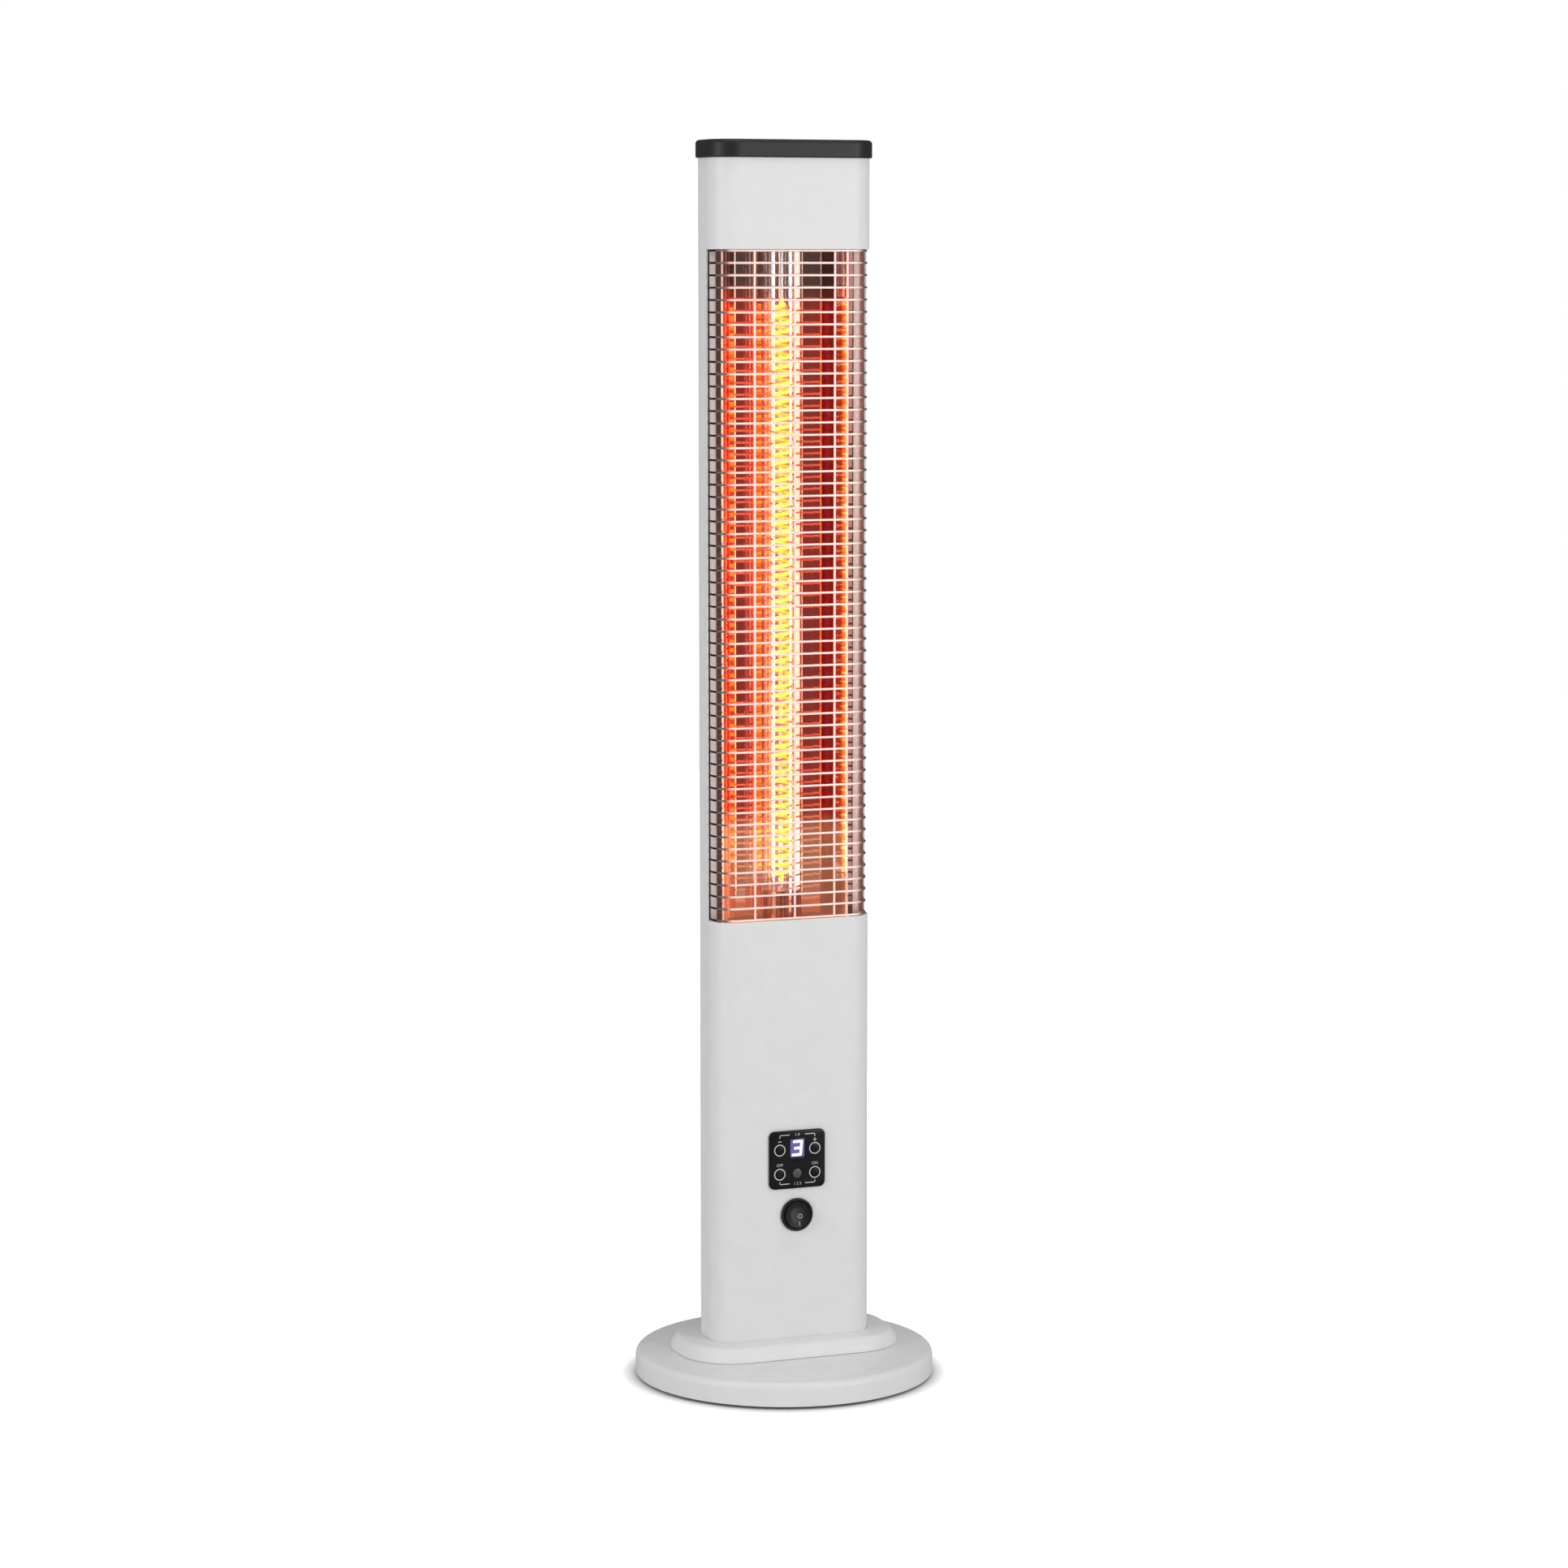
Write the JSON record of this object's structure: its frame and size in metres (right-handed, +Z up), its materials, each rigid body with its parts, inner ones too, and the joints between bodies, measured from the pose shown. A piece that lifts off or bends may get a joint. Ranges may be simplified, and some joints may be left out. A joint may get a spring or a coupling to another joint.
{
  "type": "infrared tower heater",
  "caption": "Slim white tower heater on a round foot: wound infrared lamp and mirror behind a wrap-round wire guard, control plate with push keys, rocker switch.",
  "frame": {"origin": "middle of the round foot, on the floor", "axes": "+Z up, front towards -Y, +X to the right as seen from the front"},
  "size_m": [0.25, 0.25, 1.0277],
  "materials": {
    "white_paint": "satin powder coat",
    "dark_cap": "satin",
    "chrome_wire": "polished",
    "mirror_sheet": "mirror polished",
    "quartz": "clear",
    "glowing_carbon": "woven carbon, glowing",
    "lamp_metal": "polished",
    "galvanised_sheet": "galvanised",
    "ballast_steel": "rough",
    "rubber": "matte",
    "black_plastic": "fine grain",
    "black_gloss": "high gloss",
    "display_glass": "smoked, glossy",
    "grey_lens": "smoked",
    "circuit_board": "solder mask"
  },
  "bodies": {
    "heater": {"foot_pad_1": "rubber", "foot_pad_2": "rubber", "foot_pad_3": "rubber", "foot_pad_4": "rubber", "base_cover": "galvanised_sheet", "base_weight": "ballast_steel", "base_shell": "white_paint", "base_screw_1": "galvanised_sheet", "base_screw_2": "galvanised_sheet", "base_screw_3": "galvanised_sheet", "base_bolt_left": "ballast_steel", "base_bolt_right": "ballast_steel", "pedestal": "white_paint", "foot_plate": "galvanised_sheet", "tilt_switch": "black_plastic", "housing": "white_paint", "top_cap": "dark_cap", "wire_guard": "chrome_wire", "reflector": "mirror_sheet", "reflector_end_lower": "mirror_sheet", "reflector_end_upper": "mirror_sheet", "quartz_tube": "quartz", "heating_coil": "glowing_carbon", "lamp_cap_lower": "lamp_metal", "lamp_cap_upper": "lamp_metal", "lamp_lead_lower": "lamp_metal", "lamp_lead_upper": "lamp_metal", "lamp_shelf_lower": "galvanised_sheet", "lamp_shelf_upper": "galvanised_sheet", "thermal_cutout": "black_plastic", "control_plate": "black_gloss", "display_window": "display_glass", "infrared_window": "grey_lens", "control_board": "circuit_board", "display_module": "black_plastic", "power_board": "circuit_board", "rear_cover": "white_paint", "cable_gland": "black_plastic", "gland_nut": "black_plastic", "rear_screw_1": "galvanised_sheet", "rear_screw_2": "galvanised_sheet", "rear_screw_3": "galvanised_sheet", "rear_screw_4": "galvanised_sheet", "switch_bezel": "black_plastic", "switch_body": "black_plastic"},
    "key_timer_body": {"key_timer": "black_gloss"},
    "key_mode_body": {"key_mode": "black_gloss"},
    "key_off_body": {"key_off": "black_gloss"},
    "key_heat_body": {"key_heat": "black_gloss"},
    "rocker": {"switch_rocker": "black_plastic"}
  },
  "joints": [
    {"name": "key_timer_press", "type": "slide", "parent": "heater", "child": "key_timer_body", "axis": [0, 1, 0], "range_m": [0, 0.0005], "stiffness_N_per_m": 400},
    {"name": "key_mode_press", "type": "slide", "parent": "heater", "child": "key_mode_body", "axis": [0, 1, 0], "range_m": [0, 0.0005], "stiffness_N_per_m": 400},
    {"name": "key_off_press", "type": "slide", "parent": "heater", "child": "key_off_body", "axis": [0, 1, 0], "range_m": [0, 0.0005], "stiffness_N_per_m": 400},
    {"name": "key_heat_press", "type": "slide", "parent": "heater", "child": "key_heat_body", "axis": [0, 1, 0], "range_m": [0, 0.0005], "stiffness_N_per_m": 400},
    {"name": "rocker_tilt", "type": "hinge", "parent": "heater", "child": "rocker", "pos_m": [0, -0.0297, 0.1408], "axis": [1, 0, 0], "range_deg": [0, 20]}
  ]
}
